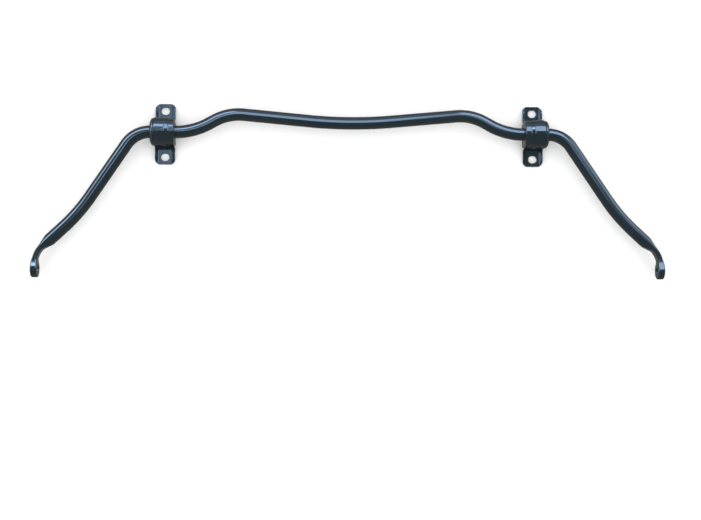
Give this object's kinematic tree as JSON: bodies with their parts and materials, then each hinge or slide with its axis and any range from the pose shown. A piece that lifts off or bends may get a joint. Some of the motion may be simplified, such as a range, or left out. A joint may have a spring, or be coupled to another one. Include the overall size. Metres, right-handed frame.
{
  "type": "sway bar",
  "caption": "Vehicle sway bar: a bent steel bar with a forged link eye at each end, turning in slit rubber bushings held by stamped chassis straps.",
  "frame": {"origin": "centre of the four chassis bolt holes, on the plane that the straps' feet bolt to", "axes": "+X along the bar to its right-hand end, +Y away from the link eyes, +Z away from the chassis"},
  "size_m": [1.0016, 0.2815, 0.0452],
  "materials": {
    "bar_paint": "gloss",
    "strap_paint": "gloss",
    "bushing_rubber": "satin"
  },
  "bodies": {
    "chassis_mounts": {"bracket_left": "strap_paint", "bracket_right": "strap_paint", "bushing_left": "bushing_rubber", "bushing_right": "bushing_rubber"},
    "bar": {"bar": "bar_paint"}
  },
  "joints": [
    {"name": "bar_roll", "type": "hinge", "parent": "chassis_mounts", "child": "bar", "pos_m": [0, 0, 0.022], "axis": [1, 0, 0], "range_deg": [-20, 20]}
  ]
}
